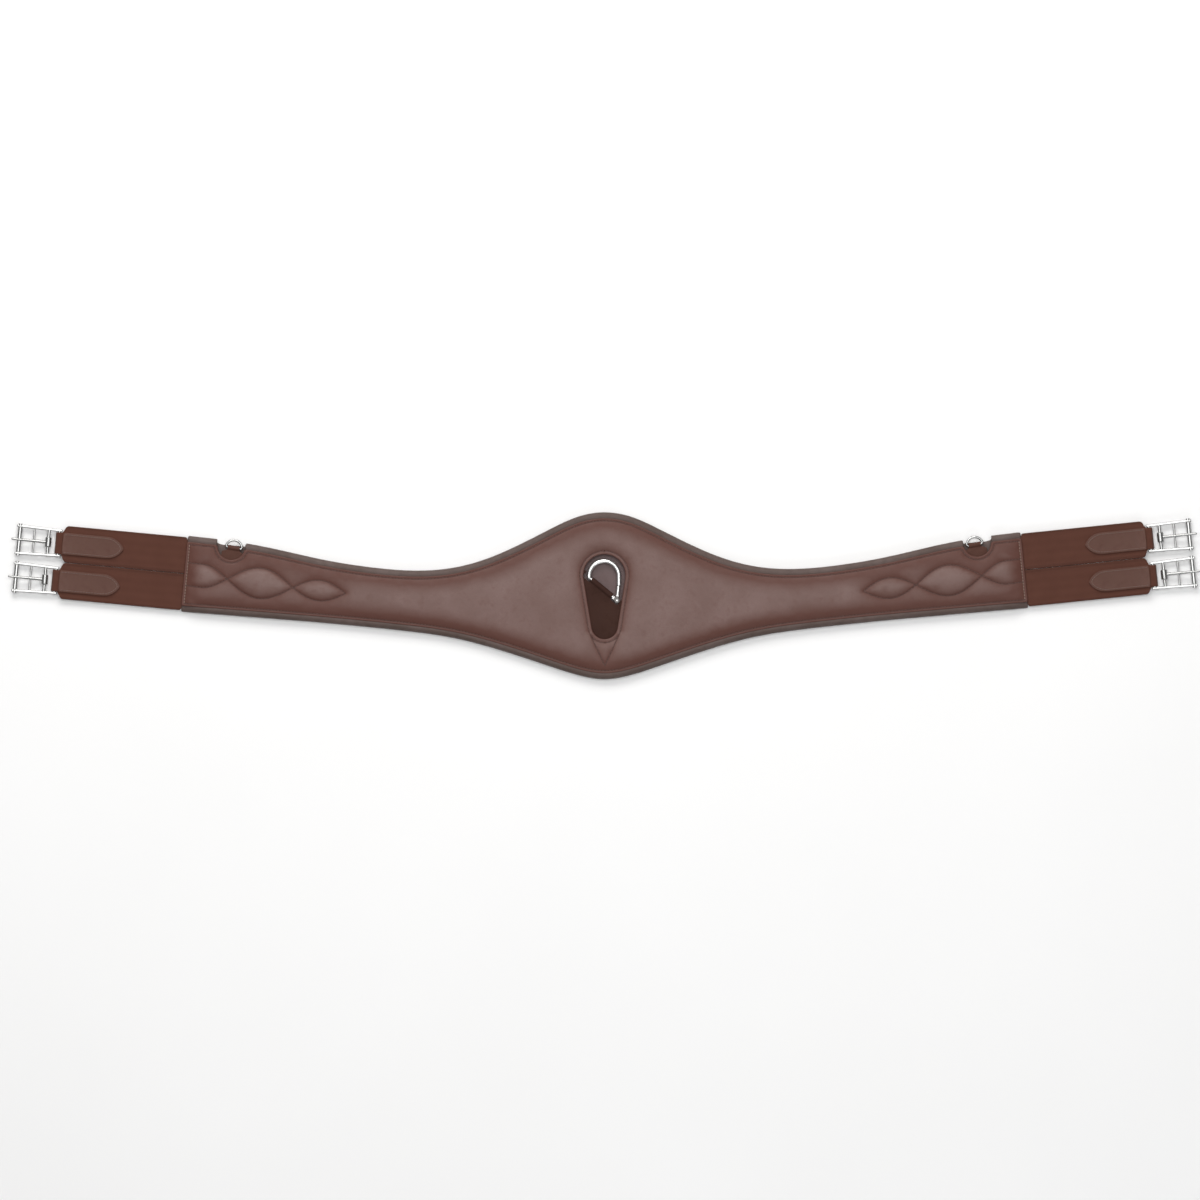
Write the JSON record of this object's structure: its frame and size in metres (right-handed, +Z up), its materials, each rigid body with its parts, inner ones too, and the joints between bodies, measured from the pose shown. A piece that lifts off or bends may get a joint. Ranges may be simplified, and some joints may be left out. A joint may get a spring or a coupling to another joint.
{
  "type": "saddle girth",
  "caption": "Padded leather saddle girth with a shaped belly guard, elastic straps with roller buckles, side D-rings and a snap hook in a centre window.",
  "frame": {"origin": "on the underside, below the middle of the box round the whole girth", "axes": "+X along the girth, +Y to its front edge, where the D-rings are, +Z up out of the outer face"},
  "size_m": [1.27, 0.178, 0.0105],
  "materials": {
    "outer_leather": "smooth waxed calf leather, red brown",
    "lining_leather": "soft matte leather, grey brown",
    "foam": "closed-cell padding foam",
    "webbing": "woven nylon webbing",
    "hook_leather": "dark brown waxed leather",
    "tab_leather": "smooth purple-brown leather",
    "elastic": "matte woven elastic web, dark brown",
    "steel": "polished stainless steel"
  },
  "bodies": {
    "guard": {"guard_lining": "lining_leather", "guard_foam": "foam", "guard_webbing": "webbing", "guard_outer_leather": "outer_leather", "window_backing": "outer_leather", "hook_strap": "hook_leather"},
    "hook": {"snap_hook": "steel", "gate_pin": "steel"},
    "gate": {"snap_gate": "steel"},
    "left_arm": {"left_arm_lining": "lining_leather", "left_arm_foam": "foam", "left_arm_webbing": "webbing", "left_arm_outer_leather": "outer_leather", "left_ring_tab": "hook_leather", "left_front_elastic_root": "elastic", "left_rear_elastic_root": "elastic"},
    "left_ring": {"left_d_ring": "steel"},
    "left_front_strap": {"left_front_elastic": "elastic", "left_front_elastic_loop": "elastic", "left_front_leather_tab": "tab_leather"},
    "left_front_buckle": {"left_front_buckle_frame": "steel"},
    "left_front_roller": {"left_front_buckle_roller": "steel"},
    "left_front_tongue": {"left_front_buckle_tongue": "steel"},
    "left_rear_strap": {"left_rear_elastic": "elastic", "left_rear_elastic_loop": "elastic", "left_rear_leather_tab": "tab_leather"},
    "left_rear_buckle": {"left_rear_buckle_frame": "steel"},
    "left_rear_roller": {"left_rear_buckle_roller": "steel"},
    "left_rear_tongue": {"left_rear_buckle_tongue": "steel"},
    "right_arm": {"right_arm_lining": "lining_leather", "right_arm_foam": "foam", "right_arm_webbing": "webbing", "right_arm_outer_leather": "outer_leather", "right_ring_tab": "hook_leather", "right_front_elastic_root": "elastic", "right_rear_elastic_root": "elastic"},
    "right_ring": {"right_d_ring": "steel"},
    "right_front_strap": {"right_front_elastic": "elastic", "right_front_elastic_loop": "elastic", "right_front_leather_tab": "tab_leather"},
    "right_front_buckle": {"right_front_buckle_frame": "steel"},
    "right_front_roller": {"right_front_buckle_roller": "steel"},
    "right_front_tongue": {"right_front_buckle_tongue": "steel"},
    "right_rear_strap": {"right_rear_elastic": "elastic", "right_rear_elastic_loop": "elastic", "right_rear_leather_tab": "tab_leather"},
    "right_rear_buckle": {"right_rear_buckle_frame": "steel"},
    "right_rear_roller": {"right_rear_buckle_roller": "steel"},
    "right_rear_tongue": {"right_rear_buckle_tongue": "steel"}
  },
  "joints": [
    {"name": "hook_swing", "type": "hinge", "parent": "guard", "child": "hook", "pos_m": [-0.0163, 0.0196, 0.0062], "axis": [0.768, -0.6404, 0], "range_deg": [0, 95]},
    {"name": "gate_press", "type": "hinge", "parent": "hook", "child": "gate", "pos_m": [0.0132, -0.005, 0.0062], "axis": [0, 0, 1], "range_deg": [0, 14], "stiffness_Nm_per_rad": 0.05, "springref_deg": -17.19},
    {"name": "left_arm_fold", "type": "hinge", "parent": "guard", "child": "left_arm", "pos_m": [-0.215, 0, 0.0105], "axis": [0, 1, 0], "range_deg": [0, 60]},
    {"name": "left_ring_swing", "type": "hinge", "parent": "left_arm", "child": "left_ring", "pos_m": [-0.3945, 0.0525, 0.005], "axis": [0.9848, -0.1736, 0], "range_deg": [-20, 125]},
    {"name": "left_front_stretch", "type": "slide", "parent": "left_arm", "child": "left_front_strap", "axis": [-0.9952, 0.0976, 0], "range_m": [0, 0.04], "stiffness_N_per_m": 2500, "deforming": ["left_front_elastic"]},
    {"name": "left_front_buckle_swing", "type": "hinge", "parent": "left_front_strap", "child": "left_front_buckle", "pos_m": [-0.58134, 0.05862, 0.0037], "axis": [0.0976, 0.9952, 0], "range_deg": [-2.5, 75]},
    {"name": "left_front_roller_turn", "type": "hinge", "parent": "left_front_buckle", "child": "left_front_roller", "pos_m": [-0.62313, 0.06272, 0.0037], "axis": [0.0976, 0.9952, 0], "continuous": true},
    {"name": "left_front_tongue_swing", "type": "hinge", "parent": "left_front_buckle", "child": "left_front_tongue", "pos_m": [-0.59228, 0.0597, 0.0037], "axis": [0.0976, 0.9952, 0], "range_deg": [0, 100]},
    {"name": "left_rear_stretch", "type": "slide", "parent": "left_arm", "child": "left_rear_strap", "axis": [-0.9952, 0.0976, 0], "range_m": [0, 0.04], "stiffness_N_per_m": 2500, "deforming": ["left_rear_elastic"]},
    {"name": "left_rear_buckle_swing", "type": "hinge", "parent": "left_rear_strap", "child": "left_rear_buckle", "pos_m": [-0.58524, 0.01882, 0.0037], "axis": [0.0976, 0.9952, 0], "range_deg": [-2.5, 75]},
    {"name": "left_rear_roller_turn", "type": "hinge", "parent": "left_rear_buckle", "child": "left_rear_roller", "pos_m": [-0.62704, 0.02291, 0.0037], "axis": [0.0976, 0.9952, 0], "continuous": true},
    {"name": "left_rear_tongue_swing", "type": "hinge", "parent": "left_rear_buckle", "child": "left_rear_tongue", "pos_m": [-0.59619, 0.01989, 0.0037], "axis": [0.0976, 0.9952, 0], "range_deg": [0, 100]},
    {"name": "right_arm_fold", "type": "hinge", "parent": "guard", "child": "right_arm", "pos_m": [0.215, 0, 0.0105], "axis": [0, -1, 0], "range_deg": [0, 60]},
    {"name": "right_ring_swing", "type": "hinge", "parent": "right_arm", "child": "right_ring", "pos_m": [0.3945, 0.0525, 0.005], "axis": [0.9848, 0.1736, 0], "range_deg": [-20, 125]},
    {"name": "right_front_stretch", "type": "slide", "parent": "right_arm", "child": "right_front_strap", "axis": [0.9952, 0.0976, 0], "range_m": [0, 0.04], "stiffness_N_per_m": 2500, "deforming": ["right_front_elastic"]},
    {"name": "right_front_buckle_swing", "type": "hinge", "parent": "right_front_strap", "child": "right_front_buckle", "pos_m": [0.58134, 0.05862, 0.0037], "axis": [0.0976, -0.9952, 0], "range_deg": [-2.5, 75]},
    {"name": "right_front_roller_turn", "type": "hinge", "parent": "right_front_buckle", "child": "right_front_roller", "pos_m": [0.62313, 0.06272, 0.0037], "axis": [0.0976, -0.9952, 0], "continuous": true},
    {"name": "right_front_tongue_swing", "type": "hinge", "parent": "right_front_buckle", "child": "right_front_tongue", "pos_m": [0.59228, 0.0597, 0.0037], "axis": [0.0976, -0.9952, 0], "range_deg": [0, 100]},
    {"name": "right_rear_stretch", "type": "slide", "parent": "right_arm", "child": "right_rear_strap", "axis": [0.9952, 0.0976, 0], "range_m": [0, 0.04], "stiffness_N_per_m": 2500, "deforming": ["right_rear_elastic"]},
    {"name": "right_rear_buckle_swing", "type": "hinge", "parent": "right_rear_strap", "child": "right_rear_buckle", "pos_m": [0.58524, 0.01882, 0.0037], "axis": [0.0976, -0.9952, 0], "range_deg": [-2.5, 75]},
    {"name": "right_rear_roller_turn", "type": "hinge", "parent": "right_rear_buckle", "child": "right_rear_roller", "pos_m": [0.62704, 0.02291, 0.0037], "axis": [0.0976, -0.9952, 0], "continuous": true},
    {"name": "right_rear_tongue_swing", "type": "hinge", "parent": "right_rear_buckle", "child": "right_rear_tongue", "pos_m": [0.59619, 0.01989, 0.0037], "axis": [0.0976, -0.9952, 0], "range_deg": [0, 100]}
  ]
}
